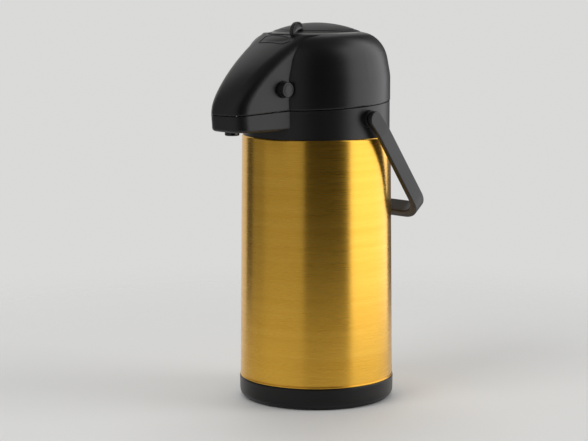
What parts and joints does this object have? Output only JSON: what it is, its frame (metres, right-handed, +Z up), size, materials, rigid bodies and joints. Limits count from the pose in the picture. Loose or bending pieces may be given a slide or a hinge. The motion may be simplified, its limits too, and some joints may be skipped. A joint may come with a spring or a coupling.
{
  "type": "airpot",
  "caption": "Tall vacuum airpot with a metal jacket, a hinged domed lid with a press plate, a pouring beak with side release buttons and a swinging bail",
  "frame": {"origin": "middle of the foot's resting plane, on the jacket's axis", "axes": "+Z up, the spout points to -Y, the bail rests at +Y and its pivots lie along X"},
  "size_m": [0.1668, 0.2169, 0.3743],
  "materials": {
    "jacket_metal": "gold-tinted, brushed round the body",
    "base_plastic": "satin moulded black",
    "collar_plastic": "satin moulded black",
    "lid_plastic": "satin moulded black",
    "plate_plastic": "fine-grained black",
    "lever_plastic": "satin black with bright worn edges",
    "button_plastic": "satin black",
    "bail_plastic": "satin moulded black",
    "pivot_plastic": "satin moulded black",
    "nozzle_plastic": "glossy black",
    "inner_plastic": "natural white moulding",
    "foot_rubber": "matte black rubber",
    "seal_rubber": "translucent pale silicone",
    "bellows_rubber": "dark moulded rubber",
    "flask_glass": "silvered glass",
    "tube_steel": "drawn stainless tube",
    "spring_steel": "drawn wire",
    "screw_steel": "plated",
    "pin_steel": "ground pin"
  },
  "bodies": {
    "pot": {"base_ring": "base_plastic", "base_cap": "base_plastic", "foot_pads": "foot_rubber", "flask_cushion": "seal_rubber", "jacket": "jacket_metal", "flask_outer": "flask_glass", "flask_inner": "flask_glass", "neck_gasket": "seal_rubber", "collar": "collar_plastic", "stopper": "inner_plastic", "stopper_seal": "seal_rubber", "dip_tube": "tube_steel", "outlet_tube": "tube_steel", "spout_nozzle": "nozzle_plastic", "hinge_pin": "pin_steel", "pivot_pin_right": "pivot_plastic", "pivot_pin_left": "pivot_plastic"},
    "lid": {"lid_shell": "lid_plastic", "inner_cover": "inner_plastic", "cover_screws": "screw_steel", "air_seal": "seal_rubber", "valve_disc": "seal_rubber", "bellows": "bellows_rubber", "return_spring": "spring_steel", "button_spring_right": "spring_steel", "button_spring_left": "spring_steel"},
    "plate": {"press_plate": "plate_plastic"},
    "lock": {"lock_lever": "lever_plastic"},
    "right_button": {"button_right": "button_plastic", "latch_right": "inner_plastic"},
    "left_button": {"button_left": "button_plastic", "latch_left": "inner_plastic"},
    "bail": {"bail": "bail_plastic"}
  },
  "joints": [
    {"name": "bail_swing", "type": "hinge", "parent": "pot", "child": "bail", "pos_m": [0, 0, 0.282], "axis": [1, 0, 0], "range_deg": [0, 214]},
    {"name": "lid_open", "type": "hinge", "parent": "pot", "child": "lid", "pos_m": [0, 0.0774, 0.29802], "axis": [-1, 0, 0], "range_deg": [0, 95]},
    {"name": "plate_press", "type": "slide", "parent": "lid", "child": "plate", "axis": [0, 0, -1], "range_m": [0, 0.018], "stiffness_N_per_m": 350, "springref_m": -0.012, "deforming": ["bellows", "return_spring"]},
    {"name": "lock_turn", "type": "hinge", "parent": "lid", "child": "lock", "pos_m": [0, 0, 0.3628], "axis": [0, 0, -1], "range_deg": [0, 37]},
    {"name": "right_button_press", "type": "slide", "parent": "lid", "child": "right_button", "axis": [-1, 0, 0], "range_m": [0, 0.004], "stiffness_N_per_m": 900, "springref_m": -0.001, "deforming": ["button_spring_right"]},
    {"name": "left_button_press", "type": "slide", "parent": "lid", "child": "left_button", "axis": [1, 0, 0], "range_m": [0, 0.004], "stiffness_N_per_m": 900, "springref_m": -0.001, "deforming": ["button_spring_left"]}
  ]
}
